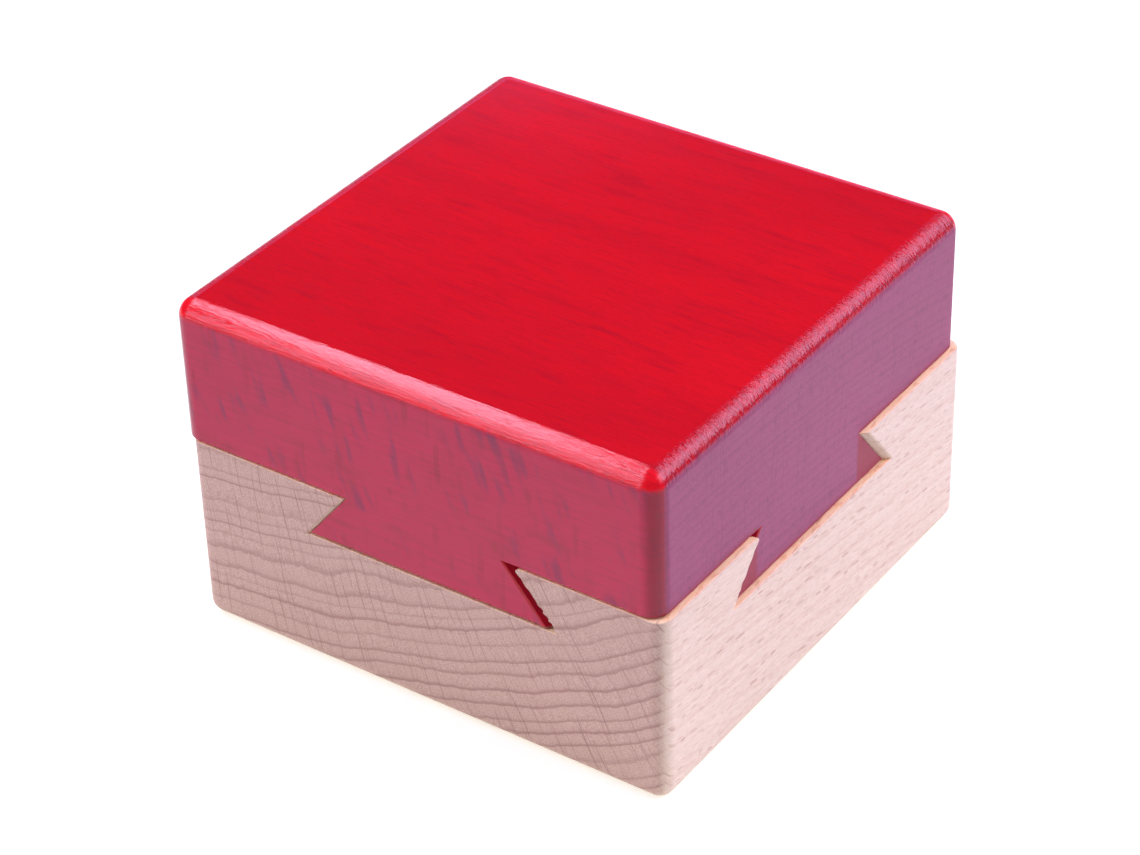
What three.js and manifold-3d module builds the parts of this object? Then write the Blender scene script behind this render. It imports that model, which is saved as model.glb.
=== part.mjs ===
// Wooden puzzle box with a double dovetail.
//
// A square base and a lid of the same outline are held together by two dovetails that run
// side by side across one diagonal of the square. Each one comes out on two neighbouring
// faces, so all four faces show a dovetail and the box seems impossible to take apart. The lid
// comes off by sliding it along that diagonal, once the two loose steel pins that hang in the lid
// have dropped back out of their sockets in the base.
//
// Millimetres, +Z up. The origin is the centre of the base's underside. X runs along the lid's
// grain and Y along the base's grain.
import * as THREE from 'three'
import { mergeVertices } from 'three/addons/utils/BufferGeometryUtils.js'
import { RoundedBoxGeometry } from 'three/addons/geometries/RoundedBoxGeometry.js'
import Module from 'manifold-3d'

const wasm = await Module()
wasm.setup()

// Base block
const baseSide = 68
const baseHeight = 26

// Lid block. Wood shrinks across its grain, so the lid is a little narrower in Y than in X.
const lidThickness = 19.1
const lidLongerAlongGrain = 0.2
const lidNarrowerAcrossGrain = 0.5
const seamGap = 0.2

// Every outer edge is rounded over with the same cutter. The edges along the seam stay sharp.
const edgeRadius = 2
const edgeSegments = 3

// Dovetail slots in the base, one on each side of the centre
const slotOffset = 25
const slotMouth = 17.2
const slotDepth = 7.2
const flankLean = THREE.MathUtils.degToRad(30)

// Dovetail tenons on the lid
const sideClearance = 0.55
const floorClearance = 0.3

// Where the loose lid has settled in its play: back along the slide, and aside from the near slot wall
const restAlong = -0.65
const restAside = -0.45

// Round compartment in the middle of the base
const compartmentWall = 2
const compartmentFloor = 5
const boreSegments = 48

// Steel lock pins, one at each end of the land between the slots
const pinDiameter = 3
const pinLength = 12
const pinChamfer = 0.4
const pinOffset = 20
const pinSegments = 32
const pinHeadroom = 0.4
const pinSetback = 0.3
const lidBoreClearance = 0.2
const socketDepth = 5
const socketClearance = 0.2

// The slide runs along one diagonal, and the dovetails stand side by side across it.
const up = new THREE.Vector3(0, 0, 1)
const slideDirection = new THREE.Vector3(1, 1, 0).normalize()
const acrossSlide = new THREE.Vector3(1, -1, 0).normalize()

// Heights that the pieces share
const slotFloor = baseHeight - slotDepth
const tenonBottom = slotFloor + floorClearance
const lidUnderside = baseHeight + seamGap
const lidTop = lidUnderside + lidThickness
const pinBottom = lidUnderside + pinSetback
const lidBoreTop = pinBottom + pinLength + pinHeadroom

// Longer than the base's diagonal, so that a slot cuts right through
const cutLength = 2 * baseSide
const cutMargin = 5

const slotWidthAt = (z) => slotMouth + 2 * (baseHeight - z) * Math.tan(flankLean)
const compartmentRadius = slotOffset - slotWidthAt(slotFloor) / 2 - compartmentWall
const restShift = slideDirection.clone().multiplyScalar(restAlong).addScaledVector(acrossSlide, restAside)
const socketRadius = pinDiameter / 2 + restShift.length() + socketClearance

function toManifold(geometry) {
  geometry.deleteAttribute('normal')
  geometry.deleteAttribute('uv')
  const merged = mergeVertices(geometry)
  return new wasm.Manifold(new wasm.Mesh({
    numProp: 3,
    vertProperties: new Float32Array(merged.attributes.position.array),
    triVerts: new Uint32Array(merged.index.array),
  }))
}

function toGeometry(solid) {
  const mesh = solid.getMesh()
  const geometry = new THREE.BufferGeometry()
  geometry.setAttribute('position', new THREE.BufferAttribute(mesh.vertProperties, 3))
  geometry.setIndex(new THREE.BufferAttribute(mesh.triVerts, 1))
  geometry.computeVertexNormals()
  return geometry
}

// A block with all its edges rounded over, between two heights
function roundedBlock(length, width, bottom, top) {
  const geometry = new RoundedBoxGeometry(length, width, top - bottom, edgeSegments, edgeRadius)
  geometry.translate(0, 0, (top + bottom) / 2)
  return toManifold(geometry)
}

// A slab that covers the whole box in plan, between two heights
function slab(bottom, top) {
  const geometry = new THREE.BoxGeometry(cutLength, cutLength, top - bottom)
  geometry.translate(0, 0, (top + bottom) / 2)
  return toManifold(geometry)
}

// A dovetail bar along the slide, wider at the bottom, held in from the slot's flanks on both sides
function dovetailBar(offset, bottom, top, heldIn) {
  const lowerHalf = slotWidthAt(bottom) / 2 - heldIn
  const upperHalf = slotWidthAt(top) / 2 - heldIn
  const section = new THREE.Shape([
    new THREE.Vector2(offset - lowerHalf, bottom),
    new THREE.Vector2(offset + lowerHalf, bottom),
    new THREE.Vector2(offset + upperHalf, top),
    new THREE.Vector2(offset - upperHalf, top),
  ])
  const geometry = new THREE.ExtrudeGeometry(section, { depth: cutLength, bevelEnabled: false })
  geometry.translate(0, 0, -cutLength / 2)
  geometry.applyMatrix4(new THREE.Matrix4().makeBasis(acrossSlide, up, slideDirection.clone().negate()))
  return toManifold(geometry)
}

// A vertical round bar on the line between the dovetails, at a distance along the slide
function roundBar(along, radius, bottom, top) {
  const geometry = new THREE.CylinderGeometry(radius, radius, top - bottom, boreSegments)
  geometry.rotateX(Math.PI / 2)
  geometry.translate(slideDirection.x * along, slideDirection.y * along, (top + bottom) / 2)
  return toManifold(geometry)
}

function makeBase() {
  let base = roundedBlock(baseSide, baseSide, 0, baseHeight + 2 * edgeRadius)
  base = base.subtract(slab(baseHeight, baseHeight + 2 * edgeRadius + cutMargin))
  for (const side of [-1, 1]) {
    base = base.subtract(dovetailBar(side * slotOffset, slotFloor, baseHeight + cutMargin, 0))
    base = base.subtract(roundBar(side * pinOffset, socketRadius, baseHeight - socketDepth, baseHeight + cutMargin))
  }
  return base.subtract(roundBar(0, compartmentRadius, compartmentFloor, baseHeight + cutMargin))
}

// The lid and its tenons are one piece of wood: everything below the seam is cut away but the tenons.
function makeLid() {
  const length = baseSide + lidLongerAlongGrain
  const width = baseSide - lidNarrowerAcrossGrain
  let waste = slab(0, lidUnderside)
  for (const side of [-1, 1]) {
    waste = waste.subtract(dovetailBar(side * slotOffset, tenonBottom, lidUnderside + cutMargin, sideClearance))
  }
  let lid = roundedBlock(length, width, tenonBottom - 2 * edgeRadius, lidTop).subtract(waste)
  for (const side of [-1, 1]) {
    const boreRadius = pinDiameter / 2 + lidBoreClearance
    lid = lid.subtract(roundBar(side * pinOffset, boreRadius, lidUnderside - cutMargin, lidBoreTop))
  }
  return lid
}

// A turned pin standing on its end at the origin, chamfered at both ends
function pinGeometry() {
  const radius = pinDiameter / 2
  const geometry = new THREE.LatheGeometry([
    new THREE.Vector2(0, 0),
    new THREE.Vector2(radius - pinChamfer, 0),
    new THREE.Vector2(radius, pinChamfer),
    new THREE.Vector2(radius, pinLength - pinChamfer),
    new THREE.Vector2(radius - pinChamfer, pinLength),
    new THREE.Vector2(0, pinLength),
  ], pinSegments)
  geometry.rotateX(Math.PI / 2)
  return toGeometry(toManifold(geometry))
}

const beech = new THREE.MeshStandardMaterial({ color: 0xdcbcae, roughness: 0.6, metalness: 0 })
const redBeech = new THREE.MeshStandardMaterial({ color: 0xb81c34, roughness: 0.35, metalness: 0 })
const steel = new THREE.MeshStandardMaterial({ color: 0xb4b6ba, roughness: 0.3, metalness: 1 })

function named(name, geometry, material) {
  const mesh = new THREE.Mesh(geometry, material)
  mesh.name = name
  return mesh
}

const puzzleBox = new THREE.Group()
puzzleBox.add(named('base', toGeometry(makeBase()), beech))

// The lid and the pins that it carries sit together, shifted by the play in the dovetails.
const lidGroup = new THREE.Group()
lidGroup.position.copy(restShift)
lidGroup.add(named('lid', toGeometry(makeLid()), redBeech))
const pinPlaces = { lock_pin_front_left: -1, lock_pin_back_right: 1 }
for (const [name, side] of Object.entries(pinPlaces)) {
  const pin = named(name, pinGeometry(), steel)
  pin.position.copy(slideDirection).multiplyScalar(side * pinOffset).setZ(pinBottom)
  lidGroup.add(pin)
}
puzzleBox.add(lidGroup)

export default puzzleBox
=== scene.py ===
import math

import bmesh
import bpy
from mathutils import Matrix, Vector, noise


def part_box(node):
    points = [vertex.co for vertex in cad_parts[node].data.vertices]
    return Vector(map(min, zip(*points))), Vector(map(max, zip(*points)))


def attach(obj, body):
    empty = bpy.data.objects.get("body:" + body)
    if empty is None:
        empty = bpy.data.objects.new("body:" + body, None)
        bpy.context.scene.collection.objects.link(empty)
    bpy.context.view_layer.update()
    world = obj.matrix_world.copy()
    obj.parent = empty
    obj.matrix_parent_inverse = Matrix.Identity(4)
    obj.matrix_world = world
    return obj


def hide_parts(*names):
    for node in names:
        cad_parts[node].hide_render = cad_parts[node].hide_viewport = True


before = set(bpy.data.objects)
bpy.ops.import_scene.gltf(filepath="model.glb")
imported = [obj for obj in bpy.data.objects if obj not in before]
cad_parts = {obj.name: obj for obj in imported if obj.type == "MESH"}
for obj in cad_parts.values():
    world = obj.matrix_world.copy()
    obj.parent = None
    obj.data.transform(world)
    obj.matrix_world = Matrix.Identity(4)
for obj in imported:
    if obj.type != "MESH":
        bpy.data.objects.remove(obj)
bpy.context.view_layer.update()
scene = bpy.context.scene

# ------------------------------------------------------------------------------------------
# Base. One block of plain beech with its grain running from front to back (Y). Two dovetail
# slots are milled right through it across the diagonal, a round compartment is bored between
# them, and two small sockets wait for the lock pins. Its outer edges are rounded over.
# ------------------------------------------------------------------------------------------

METRES_PER_MM = 0.001
UP = Vector((0, 0, 1))
ALONG_SLIDE = Vector((1, 1, 0)).normalized()
ACROSS_SLIDE = Vector((1, -1, 0)).normalized()

slot_offset = 25.0
slot_mouth = 17.2
slot_depth = 7.2
flank_lean = math.radians(30)
compartment_radius = 10.24
compartment_floor = 5.0
centre_mark_radius = 1.6
centre_mark_depth = 0.9
pin_offset = 20.0
socket_radius = 2.49
socket_depth = 5.0
edge_radius = 2.0
edge_steps = 12

base_low, base_high = (corner / METRES_PER_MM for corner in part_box("base"))
slot_floor = base_high.z - slot_depth


def slot_half_width(height):
    return slot_mouth / 2 + (base_high.z - height) * math.tan(flank_lean)


def rounded_block(low, high, sharp_height, radius):
    """A block whose edges are rounded over, but for those that lie at the sharp height."""
    block = bmesh.new()
    bmesh.ops.create_cube(block, size=1)
    bmesh.ops.scale(block, vec=high - low, verts=block.verts)
    bmesh.ops.translate(block, vec=(high + low) / 2, verts=block.verts)
    rounded = [
        edge for edge in block.edges
        if any(abs(vert.co.z - sharp_height) > 0.01 for vert in edge.verts)
    ]
    bmesh.ops.bevel(
        block, geom=rounded, offset=radius, segments=edge_steps, profile=0.5, affect="EDGES"
    )
    return block


def add_prism(cutters, outline, half_length):
    """Adds a prism along the slide. Its outline is a list of (distance across the slide, height)."""
    rings = [
        [
            cutters.verts.new(ACROSS_SLIDE * across + ALONG_SLIDE * along + UP * height)
            for across, height in outline
        ]
        for along in (-half_length, half_length)
    ]
    count = len(outline)
    cutters.faces.new(rings[0])
    cutters.faces.new(reversed(rings[1]))
    for here in range(count):
        after = (here + 1) % count
        cutters.faces.new((rings[0][after], rings[0][here], rings[1][here], rings[1][after]))


def add_bore(cutters, along, radius, bottom, top, bottom_radius=None, steps=96):
    """Adds an upright round cutter on the slide's centre line."""
    middle = ALONG_SLIDE * along + UP * (bottom + top) / 2
    bmesh.ops.create_cone(
        cutters, cap_ends=True, segments=steps, depth=top - bottom, radius2=radius,
        radius1=radius if bottom_radius is None else bottom_radius,
        matrix=Matrix.Translation(middle),
    )


def mesh_from(shape, name):
    bmesh.ops.recalc_face_normals(shape, faces=shape.faces)
    mesh = bpy.data.meshes.new(name)
    shape.to_mesh(mesh)
    shape.free()
    return mesh


def cut(piece, cutters):
    """Cuts one shape out of a piece and keeps the result as its plain mesh."""
    cutter = bpy.data.objects.new("cutter", mesh_from(cutters, "cutter"))
    scene.collection.objects.link(cutter)
    boolean = piece.modifiers.new("cut", "BOOLEAN")
    boolean.operation = "DIFFERENCE"
    boolean.solver = "EXACT"
    boolean.object = cutter
    evaluated = piece.evaluated_get(bpy.context.evaluated_depsgraph_get())
    mesh = bpy.data.meshes.new_from_object(evaluated)
    piece.modifiers.clear()
    piece.data = mesh
    bpy.data.objects.remove(cutter)


def sharp_edges(shape):
    """The outward edges left by a cutter: far too steep to belong to a rounded-over edge."""
    least_angle = math.radians(25)
    return [
        edge for edge in shape.edges
        if edge.is_manifold and edge.is_convex and edge.calc_face_angle() > least_angle
    ]


def split_evenly(edge, spacing):
    start, end = edge.verts
    for parts_left in range(int(edge.calc_length() / spacing), 1, -1):
        _, start = bmesh.utils.edge_split(edge, start, 1 / parts_left)
        edge = next(link for link in start.link_edges if end in link.verts)


def break_sharp_edges(piece, width, spacing, wear):
    """Sands a narrow flat on every sharp edge, then lets wear(point) say how ragged it is there.

    Points on a flat face move within it, so the faces stay flat right up to the ragged edge. The
    wear fades out at corners, and nothing leaves the piece's own box.
    """
    shape = bmesh.new()
    shape.from_mesh(piece.data)
    low = [min(vert.co[axis] for vert in shape.verts) for axis in range(3)]
    high = [max(vert.co[axis] for vert in shape.verts) for axis in range(3)]
    worn = shape.faces.layers.float.new("worn")
    sharp = sharp_edges(shape)
    ends = [vert for edge in sharp for vert in edge.verts]
    corners = [vert.co.copy() for vert in set(ends) if ends.count(vert) > 2]
    corner_reach = 1.2
    for edge in sharp:
        split_evenly(edge, spacing)
    sanded = bmesh.ops.bevel(
        shape, geom=sharp_edges(shape), offset=width, segments=2, profile=0.5,
        affect="EDGES", clamp_overlap=False,
    )
    shape.normal_update()
    for face in sanded["faces"]:
        face[worn] = 1.0
    moves = []
    for vert in {vert for face in sanded["faces"] for vert in face.verts}:
        inward = -vert.normal
        for face in vert.link_faces:
            if face.calc_area() > 1.0:
                inward -= face.normal * inward.dot(face.normal)
        if inward.length > 0.05:
            from_corner = min((vert.co - corner).length for corner in corners)
            share = min(from_corner / corner_reach, 1) ** 2
            moves.append((vert, inward.normalized() * wear(vert.co) * share))
    for vert, move in moves:
        vert.co += move
    for vert in shape.verts:
        vert.co = [min(max(part, least), most) for part, least, most in zip(vert.co, low, high)]
    shape.to_mesh(piece.data)
    shape.free()


def finish_mesh(piece):
    """Smooths the rounded edges only, and turns the mesh from millimetres to metres."""
    piece.data.set_sharp_from_angle(angle=math.radians(20))
    largest_on_rounding = 60
    for polygon in piece.data.polygons:
        lies_square = max(abs(part) for part in polygon.normal) > 0.9999
        polygon.use_smooth = not lies_square and polygon.area < largest_on_rounding
    piece.data.transform(Matrix.Scale(METRES_PER_MM, 4))
    piece.data.update()


def new_piece(name, mesh):
    piece = bpy.data.objects.new(name, mesh)
    scene.collection.objects.link(piece)
    return piece


def add_tip_cut(cutters, end, radius, rise):
    """Adds a block that takes a small flat off the point of a dovetail by the near corner."""
    across = slot_offset + slot_mouth / 2
    along = end * (math.sqrt(2) * base_high.x - across)
    tip = ACROSS_SLIDE * across + ALONG_SLIDE * along + UP * base_high.z
    slant = Vector((1.0, 0.9, rise)).normalized()
    depth = 1.3 * radius * (sum(slant) - 1)
    outward = ACROSS_SLIDE * -slant.x + ALONG_SLIDE * end * slant.y + UP * slant.z
    turn = outward.to_track_quat("Z", "Y").to_matrix().to_4x4()
    reach = 4.0
    place = Matrix.Translation(tip + outward * (reach / 2 - depth))
    bmesh.ops.create_cube(cutters, size=reach, matrix=place @ turn)


base_block = rounded_block(base_low, base_high, base_high.z, edge_radius)
base = new_piece("beech_base", mesh_from(base_block, "beech_base"))

# The cutters run well past the block, so that none of their ends lies in a face of it.
past_end = 2 * base_high.x
above = base_high.z + 5
cutters = bmesh.new()
for side in (-1, 1):
    mouth = slot_half_width(above)
    floor = slot_half_width(slot_floor)
    centre = side * slot_offset
    outline = [
        (centre - floor, slot_floor), (centre + floor, slot_floor),
        (centre + mouth, above), (centre - mouth, above),
    ]
    add_prism(cutters, outline, past_end)
    add_bore(cutters, side * pin_offset, socket_radius, base_high.z - socket_depth, above, steps=48)
add_bore(cutters, 0, compartment_radius, compartment_floor, above)
cut(base, cutters)

# The drill's point leaves a dimple in the compartment's floor.
cutters = bmesh.new()
add_bore(
    cutters, 0, centre_mark_radius, compartment_floor - centre_mark_depth, compartment_floor + 1,
    bottom_radius=0.05, steps=32,
)
cut(base, cutters)

# Handling has blunted the two dovetail points by the near corner.
tip_radius = 0.55
for rise in (0.25, 0.7, 1.5):
    cutters = bmesh.new()
    for end in (-1, 1):
        add_tip_cut(cutters, end, tip_radius, rise)
    cut(base, cutters)


tear_depth = 0.45
end_strip = 0.5


def base_wear(point):
    """Clean along the seam, torn where the cutter left the wood on the outer side of a dovetail."""
    from_corner = min(point.z - slot_floor - 0.3, base_high.z - 0.4 - point.z)
    fade = min(max(from_corner, 0.0), 1.0)
    outer_side = abs(point.dot(ACROSS_SLIDE)) > slot_offset
    torn = outer_side and max(abs(point.x), abs(point.y)) > base_high.x - end_strip
    tear = fade * abs(noise.noise(point * 1.1)) ** 0.7 * tear_depth if torn else 0.0
    return 0.03 * (1 + noise.noise(point * 0.6)) + 0.03 * noise.noise(point * 2.5) + tear


break_sharp_edges(base, width=0.14, spacing=0.35, wear=base_wear)
finish_mesh(base)


def put(tree, kind, sockets=None, **settings):
    """Adds a shader node. A socket given another node's output is linked, and any other value is set."""
    made = tree.nodes.new("ShaderNode" + kind)
    for name, value in settings.items():
        setattr(made, name, value)
    for key, value in (sockets or {}).items():
        if isinstance(value, bpy.types.NodeSocket):
            tree.links.new(value, made.inputs[key])
        else:
            made.inputs[key].default_value = value
    return made


def calculate(tree, operation, *values, clamp=False):
    """The output of one Math node."""
    return put(tree, "Math", dict(enumerate(values)), operation=operation, use_clamp=clamp).outputs[0]


def times(tree, product, *others):
    """The product of any number of sockets and values."""
    for other in others:
        product = calculate(tree, "MULTIPLY", product, other)
    return product


def ramp(tree, value, low, high, to_low=0.0, to_high=1.0):
    """A smooth step from low to high."""
    return put(
        tree, "MapRange",
        {"Value": value, "From Min": low, "From Max": high, "To Min": to_low, "To Max": to_high},
        interpolation_type="SMOOTHSTEP",
    ).outputs["Result"]


def speckle(tree, point, stretch, detail=2.0):
    """Noise of about 0 to 1 over a point whose three parts are divided by stretch."""
    scaled = put(tree, "VectorMath", {0: point, 1: stretch}, operation="DIVIDE").outputs[0]
    return put(tree, "TexNoise", {"Vector": scaled, "Scale": 1.0, "Detail": detail}).outputs[0]


def blend_colour(tree, factor, first, second):
    """The Mix node's colour sockets are its inputs 6 and 7 and its output 2."""
    return put(tree, "Mix", {0: factor, 6: first, 7: second}, data_type="RGBA").outputs[2]


def tint(tree, under, mask, strength, over):
    """Lays a colour over another by a mask and a strength."""
    return blend_colour(tree, times(tree, mask, strength), under, over)


def new_group(name, inputs, outputs):
    """An empty shader node group with float inputs, or vectors where the default is a tuple."""
    group = bpy.data.node_groups.new(name, "ShaderNodeTree")
    for label, default in inputs.items():
        kind = "NodeSocketVector" if isinstance(default, tuple) else "NodeSocketFloat"
        socket = group.interface.new_socket(label, in_out="INPUT", socket_type=kind)
        socket.default_value = default
    for label in outputs:
        group.interface.new_socket(label, in_out="OUTPUT", socket_type="NodeSocketFloat")
    return group, group.nodes.new("NodeGroupInput").outputs


def close_group(group, results):
    ends = group.nodes.new("NodeGroupOutput")
    for label, socket in results.items():
        group.links.new(socket, ends.inputs[label])
    return group


def use_group(tree, group, sockets):
    return put(tree, "Group", sockets, node_tree=group).outputs


def make_rays_group():
    """Beech's rays: thin dark sheets that run out from the heart of the tree.

    Place is (distance round the ring, distance along the grain, distance from the heart), in
    millimetres. End grain shows a ray as a long fine line, and side grain as a short spindle.
    """
    group, given = new_group(
        "Beech rays",
        {"Place": (0.0, 0.0, 0.0), "Spacing": 1.6, "Thickness": 0.15, "Length": 2.5, "Share": 0.8},
        ["Mask"],
    )
    place = put(group, "SeparateXYZ", {0: given["Place"]}).outputs
    wander = calculate(group, "SUBTRACT", speckle(group, given["Place"], (7.0, 30.0, 10.0), 0.0), 0.5)
    arc = calculate(group, "MULTIPLY_ADD", wander, 1.4, place[0])
    turns = calculate(group, "DIVIDE", arc, given["Spacing"])
    sheet = calculate(group, "FLOOR", turns)
    shift = put(group, "TexWhiteNoise", {"W": sheet}, noise_dimensions="1D").outputs["Value"]
    lengths = calculate(group, "DIVIDE", place[1], given["Length"])
    along = calculate(group, "MULTIPLY_ADD", shift, 40.0, lengths)
    cell = put(group, "CombineXYZ", {0: sheet, 1: calculate(group, "FLOOR", along)}).outputs[0]
    own = put(group, "TexWhiteNoise", {"Vector": cell}, noise_dimensions="3D").outputs
    own_parts = put(group, "SeparateColor", {0: own["Color"]}).outputs
    middle = calculate(group, "MULTIPLY_ADD", own_parts[0], 0.8, 0.1)
    aside = calculate(group, "SUBTRACT", calculate(group, "FRACT", turns), middle)
    distance = times(group, calculate(group, "ABSOLUTE", aside), given["Spacing"])
    from_middle = calculate(group, "MULTIPLY_ADD", calculate(group, "FRACT", along), 2.0, -1.0)
    share_of_length = calculate(group, "MULTIPLY_ADD", own_parts[1], 0.6, 0.4)
    from_middle = calculate(group, "DIVIDE", from_middle, share_of_length)
    hollow = times(group, from_middle, from_middle)
    spindle = calculate(group, "SQRT", calculate(group, "SUBTRACT", 1.0, hollow, clamp=True))
    half = calculate(group, "ADD", times(group, given["Thickness"], spindle, 0.5), 0.0001)
    soft = ramp(group, distance, 0.0, half, 1.0, 0.0)
    there = calculate(group, "LESS_THAN", own["Value"], given["Share"])
    depth = put(group, "CombineXYZ", {
        0: times(group, own_parts[2], 90.0), 1: calculate(group, "DIVIDE", place[2], 9.0),
    }).outputs[0]
    fading = put(group, "TexNoise", {"Vector": depth, "Scale": 1.0, "Detail": 1.0}).outputs[0]
    fading = ramp(group, fading, 0.32, 0.55, 0.15, 1.0)
    strength = times(group, calculate(group, "MULTIPLY_ADD", own_parts[2], 0.6, 0.4), fading)
    return close_group(group, {"Mask": times(group, soft, there, strength)})


def make_figure_group(rays_group):
    """The figure of beech: yearly rings round the heart of the tree, rays, and fine fibres.

    Point is in millimetres with the grain along Y, and Heart X and Heart Z are where the middle
    of the tree stood. Every output runs from 0 to 1.
    """
    group, given = new_group(
        "Beech figure",
        {
            "Point": (0.0, 0.0, 0.0), "Heart X": 0.0, "Heart Z": 100.0,
            "Ring Width": 2.4, "Waviness": 1.0, "Ray Length": 2.2,
        },
        ["Rings", "Late Wood", "Broad Rays", "Fine Rays", "Fibres", "Pores", "Tone", "Relief"],
    )
    point = put(group, "SeparateXYZ", {0: given["Point"]}).outputs
    right = calculate(group, "SUBTRACT", point[0], given["Heart X"])
    down = calculate(group, "SUBTRACT", given["Heart Z"], point[2])
    squares = calculate(group, "ADD", times(group, right, right), times(group, down, down))
    radius = calculate(group, "SQRT", squares)
    turn = calculate(group, "ARCTAN2", right, down)
    arc = times(group, turn, calculate(group, "ABSOLUTE", given["Heart Z"]))
    place = put(group, "CombineXYZ", {0: arc, 1: point[1], 2: radius}).outputs[0]

    broad = use_group(group, rays_group, {
        "Place": place, "Spacing": 1.4, "Thickness": 0.30, "Length": given["Ray Length"], "Share": 0.85,
    })
    shifted = put(group, "VectorMath", {0: place, 1: (0.7, 3.1, 5.3)}, operation="ADD").outputs[0]
    fine = use_group(group, rays_group, {
        "Place": shifted, "Spacing": 0.55, "Thickness": 0.19,
        "Length": times(group, given["Ray Length"], 0.7), "Share": 0.7,
    })

    slow_wave = calculate(group, "SUBTRACT", speckle(group, place, (9.0, 70.0, 12.0), 0.0), 0.5)
    quick_wave = calculate(group, "SUBTRACT", speckle(group, place, (1.5, 30.0, 5.0), 1.0), 0.5)
    seasons = put(group, "CombineXYZ", {
        0: 3.0, 1: calculate(group, "DIVIDE", point[1], 400.0), 2: calculate(group, "DIVIDE", radius, 4.5),
    }).outputs[0]
    growth = put(group, "TexNoise", {"Vector": seasons, "Scale": 1.0, "Detail": 1.0}).outputs[0]
    wave = calculate(group, "MULTIPLY_ADD", slow_wave, 3.2, quick_wave)
    wave = times(group, wave, 0.5)
    ring_place = calculate(group, "MULTIPLY_ADD", wave, given["Waviness"], radius)
    ring_place = calculate(group, "MULTIPLY_ADD", growth, 4.5, ring_place)
    years = calculate(group, "DIVIDE", ring_place, given["Ring Width"])
    season = calculate(group, "FRACT", years)
    year = calculate(group, "FLOOR", years)
    year_strength = put(group, "TexWhiteNoise", {"W": year}, noise_dimensions="1D").outputs["Value"]
    year_strength = calculate(group, "MULTIPLY_ADD", year_strength, 0.65, 0.35)
    line = times(group, ramp(group, season, 0.70, 0.92), ramp(group, season, 0.95, 1.0, 1.0, 0.0))
    late = ramp(group, season, 0.3, 0.95)
    fibres = speckle(group, given["Point"], (0.22, 5.0, 0.22), 3.0)
    pores = speckle(group, given["Point"], (0.16, 0.9, 0.16), 1.0)
    return close_group(group, {
        "Rings": times(group, line, year_strength),
        "Late Wood": times(group, late, year_strength),
        "Broad Rays": broad["Mask"],
        "Fine Rays": fine["Mask"],
        "Fibres": ramp(group, fibres, 0.35, 0.75),
        "Pores": pores,
        "Tone": speckle(group, given["Point"], (14.0, 40.0, 14.0), 1.0),
        "Relief": calculate(group, "MULTIPLY_ADD", pores, 0.5, times(group, fibres, 0.5)),
    })


def make_facing_group():
    """How squarely the surface faces along one axis of the piece, and where it is rounded over."""
    group, given = new_group(
        "Facing", {"Normal": (0.0, 0.0, 1.0), "Axis": (0.0, 1.0, 0.0)}, ["Share", "Mask", "Rounded"]
    )
    along_axis = put(
        group, "VectorMath", {0: given["Normal"], 1: given["Axis"]}, operation="DOT_PRODUCT"
    ).outputs["Value"]
    share = calculate(group, "ABSOLUTE", along_axis)
    upright = put(group, "VectorMath", {0: given["Normal"]}, operation="ABSOLUTE").outputs[0]
    parts = put(group, "SeparateXYZ", {0: upright}).outputs
    squarest = calculate(group, "MAXIMUM", calculate(group, "MAXIMUM", parts[0], parts[1]), parts[2])
    return close_group(group, {
        "Share": share,
        "Mask": ramp(group, share, 0.5, 0.97),
        "Rounded": ramp(group, squarest, 1.0, 0.985),
    })


def make_flecks_group():
    """The silk of wood cut along its rays: soft leaning flecks, short along the grain and tall across it."""
    group, given = new_group("Ray flecks", {"Point": (0.0, 0.0, 0.0), "Lean": 0.3}, ["Mask"])
    point = put(group, "SeparateXYZ", {0: given["Point"]}).outputs
    along = calculate(group, "MULTIPLY_ADD", point[2], given["Lean"], point[1])
    leaning = put(group, "CombineXYZ", {0: point[0], 1: along, 2: point[2]}).outputs[0]
    flecks = ramp(group, speckle(group, leaning, (6.0, 1.1, 4.6), 0.5), 0.48, 0.80)
    patches = ramp(group, speckle(group, given["Point"], (20.0, 7.0, 6.0), 1.0), 0.40, 0.62)
    return close_group(group, {"Mask": times(group, flecks, patches)})


def make_worn_group():
    """Where break_sharp_edges sanded the piece, at a given strength."""
    group, given = new_group("Worn edges", {"Strength": 0.5}, ["Mask"])
    worn = put(group, "Attribute", attribute_name="worn").outputs["Fac"]
    return close_group(group, {"Mask": times(group, worn, given["Strength"])})


rays_group = make_rays_group()
figure_group = make_figure_group(rays_group)
facing_group = make_facing_group()
flecks_group = make_flecks_group()
worn_group = make_worn_group()


def grain_point(tree, turn):
    """The piece's own coordinates in millimetres, turned so that the grain runs along Y."""
    own = put(tree, "TexCoord").outputs["Object"]
    to_mm = (1 / METRES_PER_MM,) * 3
    return put(tree, "Mapping", {"Vector": own, "Rotation": turn, "Scale": to_mm}).outputs[0]


def facing(tree, axis):
    normal = put(tree, "TexCoord").outputs["Normal"]
    return use_group(tree, facing_group, {"Normal": normal, "Axis": axis})


def place_on_piece(tree):
    """The three parts of the piece's own coordinates, in metres."""
    return put(tree, "SeparateXYZ", {0: put(tree, "TexCoord").outputs["Object"]}).outputs


def new_material(name):
    material = bpy.data.materials.new(name)
    material.use_nodes = True
    tree = material.node_tree
    return material, tree, tree.nodes["Principled BSDF"]


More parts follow.
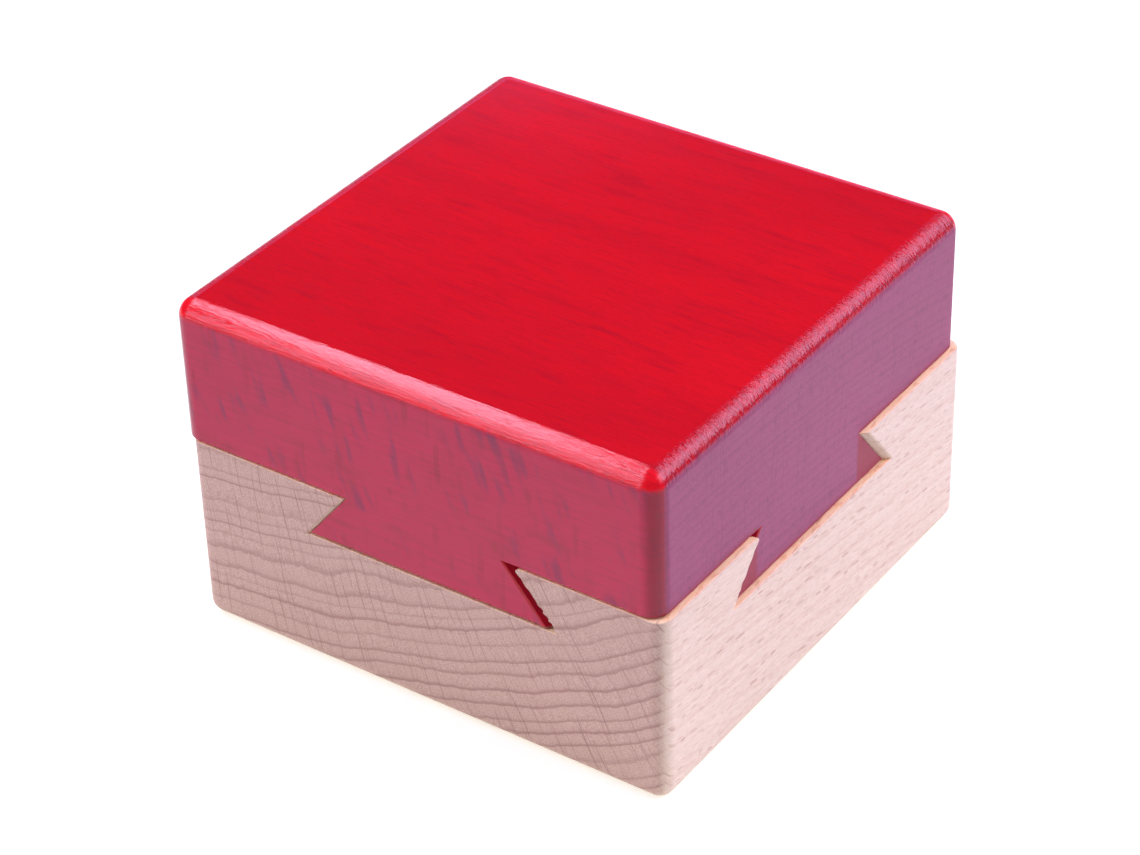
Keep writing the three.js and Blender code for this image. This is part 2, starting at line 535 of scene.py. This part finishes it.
def make_plain_beech():
    material, tree, shader = new_material("plain_beech")
    point = grain_point(tree, (math.radians(8), 0.0, 0.0))
    figure = use_group(tree, figure_group, {
        "Point": point, "Heart X": -42.0, "Heart Z": 136.0, "Ring Width": 1.95, "Ray Length": 2.2,
    })
    end_face = facing(tree, (0.0, 1.0, 0.0))["Mask"]
    flat_face = facing(tree, (0.0, 0.0, 1.0))["Mask"]
    place = place_on_piece(tree)
    side_wood = blend_colour(tree, figure["Tone"], (0.65, 0.505, 0.373, 1), (0.70, 0.555, 0.417, 1))
    end_wood = blend_colour(tree, figure["Tone"], (0.455, 0.278, 0.205, 1), (0.495, 0.304, 0.226, 1))
    # Faces turned up are painted more orange: partly the wood's own tone on those faces, and partly painted
    # light, red light bounced onto them from the lid.
    off_underside = calculate(tree, "GREATER_THAN", place[2], edge_radius * METRES_PER_MM)
    cut_flat = times(tree, flat_face, off_underside)
    rubbed = ramp(tree, speckle(tree, point, (0.7, 1.6, 0.7), 2.0), 0.48, 0.7, 0.0, 0.6)
    flat_wood_and_bounce_light = blend_colour(tree, rubbed, (0.98, 0.72, 0.37, 1), (0.80, 0.38, 0.16, 1))
    side_wood = blend_colour(tree, cut_flat, side_wood, flat_wood_and_bounce_light)

    # Painted light: the narrow rim of the top that the shifted lid leaves bare is lifted by a faint glow,
    # standing in for red light bounced onto it from the lid.
    rim_width = 1.1
    rim_fade = 0.3
    rim_start = (base_high.x - rim_width) * METRES_PER_MM
    rim_full = (base_high.x - rim_width + rim_fade) * METRES_PER_MM
    rim = times(tree, ramp(tree, place[0], rim_start, rim_full), cut_flat)
    painted_bounce_glow = blend_colour(tree, rim, (0.0, 0.0, 0.0, 1), (0.12, 0.05, 0.012, 1))
    tree.links.new(painted_bounce_glow, shader.inputs["Emission Color"])
    shader.inputs["Emission Strength"].default_value = 1.0

    wood = blend_colour(tree, end_face, side_wood, end_wood)
    dark_wood = blend_colour(tree, end_face, (0.56, 0.31, 0.20, 1), (0.30, 0.145, 0.115, 1))
    ray_wood = blend_colour(tree, end_face, (0.40, 0.19, 0.13, 1), (0.25, 0.115, 0.09, 1))
    wood = tint(tree, wood, figure["Late Wood"], ramp(tree, end_face, 0.0, 1.0, 0.18, 0.3), dark_wood)
    speck = ramp(tree, figure["Pores"], 0.35, 0.65, 0.0, 0.2)
    wood = blend_colour(tree, speck, wood, (0.98, 0.78, 0.66, 1))
    wood = tint(tree, wood, figure["Rings"], ramp(tree, end_face, 0.0, 1.0, 0.1, 0.75), dark_wood)
    wood = tint(tree, wood, figure["Fine Rays"], 0.6, dark_wood)
    wood = tint(tree, wood, figure["Broad Rays"], ramp(tree, end_face, 0.0, 1.0, 0.62, 0.8), ray_wood)
    wood = tint(tree, wood, figure["Fibres"], 0.16, dark_wood)
    worn = use_group(tree, worn_group, {"Strength": 0.2})["Mask"]
    wood = blend_colour(tree, worn, wood, (0.5, 0.3, 0.2, 1))
    tree.links.new(wood, shader.inputs["Base Color"])

    rough = calculate(tree, "MULTIPLY_ADD", figure["Fibres"], 0.15, 0.5)
    tree.links.new(rough, shader.inputs["Roughness"])
    sunken = times(tree, figure["Broad Rays"], 0.5)
    height = calculate(tree, "SUBTRACT", figure["Relief"], sunken)
    bump = put(tree, "Bump", {"Height": height, "Strength": 0.35, "Distance": 0.00005})
    tree.links.new(bump.outputs[0], shader.inputs["Normal"])
    shader.inputs["IOR"].default_value = 1.5
    return material


base.data.materials.append(make_plain_beech())
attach(base, "base")
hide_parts("base")

# ------------------------------------------------------------------------------------------
# Lid. One block of beech with its grain running from left to right (X), stained red and
# lacquered. Its two dovetail tenons are milled from the same block, and two blind bores in its
# underside hold the lock pins. The milled edges below stay sharp, and the edges above are rounded.
# ------------------------------------------------------------------------------------------

seam_gap = 0.2
side_clearance = 0.55
pin_bore_radius = 1.7
pin_bore_top = 38.9

lid_low, lid_high = (corner / METRES_PER_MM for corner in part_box("lid"))
lid_middle = (lid_low + lid_high) / 2
lid_shift = Vector((lid_middle.x, lid_middle.y, 0))
lid_underside = base_high.z + seam_gap
tenon_bottom = lid_low.z

# The block starts out taller, centred on the origin, and is moved into place when it is cut.
lid_edge_radius = 2.4
extra_below = Vector((0, 0, 2 * lid_edge_radius))
start_low = lid_low - lid_shift - extra_below
lid_block = rounded_block(start_low, lid_high - lid_shift, start_low.z, lid_edge_radius)
lid = new_piece("red_lid", mesh_from(lid_block, "red_lid"))

# Everything below the seam is milled away but the two tenons, so the waste is one comb-like bar.
waste = [(past_end, tenon_bottom - 20), (past_end, lid_underside)]
for side in (1, -1):
    for edge in (1, -1):
        root = side * slot_offset + edge * (slot_half_width(lid_underside) - side_clearance)
        foot = side * slot_offset + edge * (slot_half_width(tenon_bottom) - side_clearance)
        corner = [(root, lid_underside), (foot, tenon_bottom)]
        waste += corner if edge == 1 else reversed(corner)
waste += [(-past_end, lid_underside), (-past_end, tenon_bottom - 20)]
cutters = bmesh.new()
add_prism(cutters, waste, past_end)
cut(lid, cutters)

cutters = bmesh.new()
for side in (-1, 1):
    add_bore(cutters, side * pin_offset, pin_bore_radius, lid_underside - 1, pin_bore_top, steps=48)
cut(lid, cutters)


def lid_wear(point):
    """Slightly uneven, where the cutter and the sanding block went over it."""
    return 0.04 * (1 + noise.noise(point * 0.5)) + 0.02 * noise.noise(point * 2.2)


break_sharp_edges(lid, width=0.12, spacing=0.4, wear=lid_wear)

# A knock in the far top edge, where the middle of the rounding lies nick_reach in from both faces.
nick_along = -2.6
nick_radius = 0.5
nick_reach = (1 - math.sqrt(0.5)) * lid_edge_radius - 0.15
nick = Vector((nick_along, lid_high.y - lid_shift.y - nick_reach, lid_high.z - nick_reach))
cutters = bmesh.new()
bmesh.ops.create_icosphere(
    cutters, subdivisions=2, radius=nick_radius, matrix=Matrix.Translation(nick)
)
cut(lid, cutters)

lid.data.transform(Matrix.Translation(lid_shift))
finish_mesh(lid)

seam_shade_depth = 0.9


def make_red_beech():
    material, tree, shader = new_material("red_stained_beech")
    point = grain_point(tree, (0.0, 0.0, math.radians(90)))
    figure = use_group(tree, figure_group, {
        "Point": point, "Heart X": 25.0, "Heart Z": -230.0, "Ring Width": 1.25, "Waviness": 0.3,
        "Ray Length": 1.5,
    })
    end_face = facing(tree, (1.0, 0.0, 0.0))
    ray_face = facing(tree, (0.0, 1.0, 0.0))
    top_face = facing(tree, (0.0, 0.0, 1.0))
    place = place_on_piece(tree)
    height_up = times(tree, place[2], 1 / METRES_PER_MM)

    # Masks for the rounded edges: along the grain they sand smooth, and across it they tear.
    on_top_edge = ramp(tree, top_face["Share"], 0.0, 0.2)
    off_top_edge = calculate(tree, "SUBTRACT", 1.0, on_top_edge)
    off_long_side = ramp(tree, ray_face["Share"], 0.05, 0.4, 1.0, 0.0)
    off_end_side = ramp(tree, end_face["Share"], 0.05, 0.4, 1.0, 0.0)
    on_end_edge = times(tree, end_face["Rounded"], ramp(tree, end_face["Share"], 0.0, 0.1))
    on_long_edge = times(tree, ramp(tree, ray_face["Share"], 0.0, 0.2), on_top_edge, off_end_side)
    long_share = ramp(tree, ray_face["Share"], 0.03, 0.3)
    sanded_edge_highlight = times(tree, long_share, ramp(tree, top_face["Share"], 0.05, 0.35))
    off_sanded_edge_highlight = calculate(tree, "SUBTRACT", 1.0, sanded_edge_highlight)
    end_share = ramp(tree, end_face["Share"], 0.0, 0.6)
    upright_edge_shade = times(tree, end_share, ramp(tree, ray_face["Share"], 0.0, 0.6), off_top_edge)
    torn_edge = times(tree, on_end_edge, on_top_edge, off_long_side)

    # The stain takes on the top, the long sides, the sanded edges, the milled flanks and the ends. The
    # sanded long edges get a brighter red that is partly worn lacquer and partly a painted highlight.
    flat_stain = blend_colour(tree, figure["Tone"], (0.44, 0.0035, 0.009, 1), (0.61, 0.0045, 0.010, 1))
    # The long sides and the ends are bluer than the top: partly how rays and end grain take the stain, and
    # partly a painted bluish sheen, a painted reflection of the cool light.
    ray_stain_and_sheen = blend_colour(tree, figure["Tone"], (0.425, 0.002, 0.046, 1), (0.50, 0.003, 0.052, 1))
    end_stain_and_sheen = blend_colour(tree, figure["Tone"], (0.275, 0.043, 0.110, 1), (0.315, 0.047, 0.123, 1))
    above_seam = calculate(tree, "GREATER_THAN", height_up, lid_underside)
    milled = times(tree, sanded_edge_highlight, calculate(tree, "SUBTRACT", 1.0, above_seam))
    stain = blend_colour(tree, ray_face["Mask"], flat_stain, ray_stain_and_sheen)
    # Painted highlight: the sanded long edges are a brighter red, partly worn lacquer and partly a painted
    # highlight.
    stain = blend_colour(tree, sanded_edge_highlight, stain, (0.85, 0.008, 0.016, 1))
    stain = blend_colour(tree, milled, stain, (0.36, 0.003, 0.012, 1))
    stain = blend_colour(tree, ramp(tree, end_face["Share"], 0.88, 0.995), stain, end_stain_and_sheen)

    # The figure of the wood shows through it, darker.
    deep = blend_colour(tree, end_face["Mask"], (0.22, 0.003, 0.012, 1), (0.14, 0.015, 0.05, 1))
    silk = ramp(tree, speckle(tree, point, (1.3, 8.0, 1.3), 3.0), 0.5, 0.8)
    late_strength = ramp(tree, end_face["Mask"], 0.0, 1.0, 0.15, 0.26)
    stain = tint(tree, stain, figure["Fibres"], 0.26, deep)
    stain = tint(tree, stain, silk, 0.36, deep)
    stain = tint(tree, stain, figure["Late Wood"], late_strength, deep)
    stain = tint(tree, stain, figure["Fine Rays"], 0.4, deep)
    stain = tint(tree, stain, figure["Broad Rays"], 0.3, deep)
    flecks = use_group(tree, flecks_group, {"Point": point, "Lean": 0.3})["Mask"]
    flecks = times(tree, flecks, ray_face["Mask"], off_sanded_edge_highlight)
    stain = tint(tree, stain, flecks, 0.72, (0.17, 0.008, 0.055, 1))
    # Painted shade: the upright rounded edges are darkened, for the shade that falls on them.
    stain = tint(tree, stain, upright_edge_shade, 0.6, deep)
    ridges = speckle(tree, point, (0.32, 1.3, 1.1), 2.0)
    dark_ridges = times(tree, ramp(tree, ridges, 0.5, 0.68), torn_edge)
    stain = tint(tree, stain, dark_ridges, 0.4, deep)

    # Painted shade: a darker band along the milled lower edges of the ends, at the seam and the tenons'
    # feet, where shade falls between lid and base.
    across = calculate(tree, "SUBTRACT", place[0], place[1])
    across = times(tree, across, math.sqrt(0.5) / METRES_PER_MM)
    from_tenon = calculate(tree, "SUBTRACT", calculate(tree, "ABSOLUTE", across), slot_offset)
    from_tenon = calculate(tree, "ABSOLUTE", from_tenon)
    tenon_half = slot_half_width(lid_underside) - side_clearance
    low_edge = ramp(tree, height_up, lid_underside + 0.1, lid_underside + seam_shade_depth, 1.0, 0.0)
    low_edge = times(tree, low_edge, ramp(tree, from_tenon, tenon_half - 0.2, tenon_half + 0.4))
    tenon_edge = ramp(tree, height_up, tenon_bottom + 0.1, tenon_bottom + seam_shade_depth, 1.0, 0.0)
    seam_shade = times(tree, calculate(tree, "MAXIMUM", low_edge, tenon_edge), end_face["Mask"])
    stain = tint(tree, stain, seam_shade, 0.8, (0.26, 0.003, 0.018, 1))
    worn = use_group(tree, worn_group, {"Strength": 0.5})["Mask"]
    stain = blend_colour(tree, worn, stain, (0.45, 0.03, 0.03, 1))
    tree.links.new(stain, shader.inputs["Base Color"])

    # Lacquer is glossy but thin: it sinks into the flat end grain, and follows ridges and streaks.
    flat_end = ramp(tree, end_face["Share"], 0.9, 1.0)
    rough = calculate(tree, "MULTIPLY_ADD", figure["Fibres"], 0.05, 0.09)
    rough = calculate(tree, "MULTIPLY_ADD", on_end_edge, 0.08, rough)
    rough = calculate(tree, "MULTIPLY_ADD", flat_end, 0.36, rough)
    tree.links.new(rough, shader.inputs["Roughness"])
    streaks = speckle(tree, point, (0.22, 2.2, 0.22), 2.0)
    streak_height = times(tree, calculate(tree, "MULTIPLY_ADD", streaks, 0.5, -0.25), on_long_edge)
    ridge_height = calculate(tree, "SUBTRACT", ridges, 0.5)
    ridge_height = calculate(tree, "MULTIPLY_ADD", ridge_height, torn_edge, streak_height)
    ridged = put(tree, "Bump", {"Height": ridge_height, "Strength": 1.0, "Distance": 0.00015})
    bump = put(tree, "Bump", {
        "Height": figure["Relief"], "Strength": 0.4, "Distance": 0.00002, "Normal": ridged.outputs[0],
    })
    tree.links.new(bump.outputs[0], shader.inputs["Normal"])
    shader.inputs["IOR"].default_value = 1.42
    return material


lid.data.materials.append(make_red_beech())
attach(lid, "lid")
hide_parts("lid")

# ------------------------------------------------------------------------------------------
# Lock pins. Two lengths of bright drawn steel rod, chamfered at both ends, that hang loose in
# the lid's bores and drop into the base's sockets when the box stands upright.
# ------------------------------------------------------------------------------------------

pin_chamfer = 0.4


def pin_mesh(name, low, high):
    """A turned pin between the corners of its CAD box, in millimetres."""
    radius = (high.x - low.x) / 2
    middle = (low + high) / 2
    profile = [
        (0, low.z), (radius - pin_chamfer - 0.1, low.z), (radius - pin_chamfer, low.z + 0.03),
        (radius - 0.04, low.z + pin_chamfer - 0.04), (radius, low.z + pin_chamfer + 0.06),
    ]
    profile += [(reach, low.z + high.z - height) for reach, height in reversed(profile)]
    shape = bmesh.new()
    points = [shape.verts.new((middle.x + reach, middle.y, height)) for reach, height in profile]
    edges = [shape.edges.new(pair) for pair in zip(points, points[1:])]
    bmesh.ops.spin(
        shape, geom=points + edges, cent=middle, axis=UP, angle=math.tau, steps=64, use_merge=True
    )
    bmesh.ops.remove_doubles(shape, verts=shape.verts, dist=1e-4)
    return mesh_from(shape, name)


def make_pin_steel():
    material, tree, shader = new_material("drawn_steel")
    point = grain_point(tree, (0.0, 0.0, 0.0))
    drawn = speckle(tree, point, (0.12, 0.12, 6.0), 3.0)
    stain = speckle(tree, point, (1.5, 1.5, 2.5), 2.0)
    colour = blend_colour(tree, ramp(tree, stain, 0.4, 0.75), (0.60, 0.61, 0.63, 1), (0.45, 0.44, 0.43, 1))
    tree.links.new(colour, shader.inputs["Base Color"])
    tree.links.new(calculate(tree, "MULTIPLY_ADD", drawn, 0.2, 0.2), shader.inputs["Roughness"])
    bump = put(tree, "Bump", {"Height": drawn, "Strength": 0.2, "Distance": 0.00002})
    tree.links.new(bump.outputs[0], shader.inputs["Normal"])
    shader.inputs["Metallic"].default_value = 1.0
    return material


pin_steel = make_pin_steel()
for node in ("lock_pin_front_left", "lock_pin_back_right"):
    low, high = (corner / METRES_PER_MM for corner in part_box(node))
    pin = new_piece("steel_" + node, pin_mesh("steel_" + node, low, high))
    finish_mesh(pin)
    pin.data.materials.append(pin_steel)
    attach(pin, node)
    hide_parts(node)

# ------------------------------------------------------------------------------------------
# Stage. A pale floor, five soft panels of cool studio light (overhead, front left, right, back right
# and low at the back left), and a camera that looks down at the near corner. The floor glows round the
# box, a painted glow that fills in the box's shadow, and falls to grey further out, painted shade for the
# unlit room.
# ------------------------------------------------------------------------------------------

floor_mesh = bpy.data.meshes.new("floor")
floor_reach = 4.0
floor_corners = [
    (x * floor_reach, y * floor_reach, 0) for x, y in ((-1, -1), (1, -1), (1, 1), (-1, 1))
]
floor_mesh.from_pydata(floor_corners, [], [(0, 1, 2, 3)])
floor_piece = new_piece("floor", floor_mesh)
floor_material, floor_tree, floor_shader = new_material("pale_floor")
floor_point = put(floor_tree, "TexCoord").outputs["Object"]
from_box = put(floor_tree, "VectorMath", {0: floor_point}, operation="LENGTH").outputs["Value"]
# Painted shade: further out the floor is painted grey, standing in for the unlit room.
far = ramp(floor_tree, from_box, 0.22, 0.45)
floor_colour = blend_colour(floor_tree, far, (0.75, 0.78, 0.62, 1), (0.2, 0.2, 0.19, 1))
floor_tree.links.new(floor_colour, floor_shader.inputs["Base Color"])
# Painted light: the floor glows round the box, filling in the box's own shadow there.
clear_of_box = ramp(floor_tree, from_box, 0.05, 0.12)
floor_painted_glow = blend_colour(floor_tree, clear_of_box, (1.0, 1.0, 1.0, 1), (0.28, 0.28, 0.28, 1))
floor_painted_glow = blend_colour(floor_tree, far, floor_painted_glow, (0.1, 0.1, 0.1, 1))
floor_tree.links.new(floor_painted_glow, floor_shader.inputs["Emission Color"])
floor_shader.inputs["Emission Strength"].default_value = 0.46
floor_shader.inputs["Roughness"].default_value = 0.7
floor_mesh.materials.append(floor_material)

target = Vector((0, 0, 0.02))


def add_panel(name, azimuth, elevation, distance, width, height, radiance, colour):
    """A soft panel that faces the box. Azimuth 0 is the front, and 90 is the right."""
    around = math.radians(azimuth)
    up = math.radians(elevation)
    level = math.cos(up)
    away = Vector((math.sin(around) * level, -math.cos(around) * level, math.sin(up)))
    light = bpy.data.lights.new(name, "AREA")
    light.shape = "RECTANGLE"
    light.size = width
    light.size_y = height
    light.energy = radiance * math.pi * width * height
    light.color = colour
    panel = bpy.data.objects.new(name, light)
    panel.location = target + away * distance
    panel.rotation_mode = "QUATERNION"
    panel.rotation_quaternion = away.to_track_quat("Z", "Y")
    scene.collection.objects.link(panel)


cool = (0.95, 0.90, 1.22)
bluer = (0.95, 0.90, 1.45)
deep_blue = (0.8, 0.75, 1.9)
add_panel(
    "overhead_left", azimuth=-85.9, elevation=57.9, distance=1.03,
    width=1.30, height=0.31, radiance=8.8, colour=cool,
)
add_panel(
    "front_left", azimuth=-32, elevation=24, distance=1.0,
    width=0.46, height=0.75, radiance=4.0, colour=cool,
)
add_panel(
    "back_right", azimuth=144.7, elevation=38, distance=1.0,
    width=1.0, height=0.85, radiance=3.0, colour=bluer,
)
add_panel(
    "right", azimuth=114, elevation=38, distance=1.0,
    width=0.7, height=0.65, radiance=3.8, colour=cool,
)
add_panel(
    "low_back_left", azimuth=-144, elevation=20, distance=1.0,
    width=0.9, height=0.28, radiance=0.7, colour=deep_blue,
)

world = bpy.data.worlds.new("studio")
world.use_nodes = True
background = world.node_tree.nodes["Background"]
background.inputs["Color"].default_value = (*cool, 1)
background.inputs["Strength"].default_value = 0.05
scene.world = world
scene.view_settings.view_transform = "Standard"

view_azimuth = math.radians(35.42)
view_elevation = math.radians(34.52)
view_roll = math.radians(-1.67)
view_distance = 0.400
look_at = Vector((-0.0006, -0.0020, 0.0214))
camera_data = bpy.data.cameras.new("camera")
camera_data.sensor_width = 36
camera_data.lens = 103.2
camera_data.clip_start = 0.01
camera_data.clip_end = 20
camera = bpy.data.objects.new("camera", camera_data)
turn = (
    Matrix.Rotation(view_azimuth, 4, "Z")
    @ Matrix.Rotation(math.pi / 2 - view_elevation, 4, "X")
    @ Matrix.Rotation(view_roll, 4, "Z")
)
backward = turn.to_3x3() @ Vector((0, 0, 1))
camera.matrix_world = Matrix.Translation(look_at + backward * view_distance) @ turn
scene.collection.objects.link(camera)
scene.camera = camera
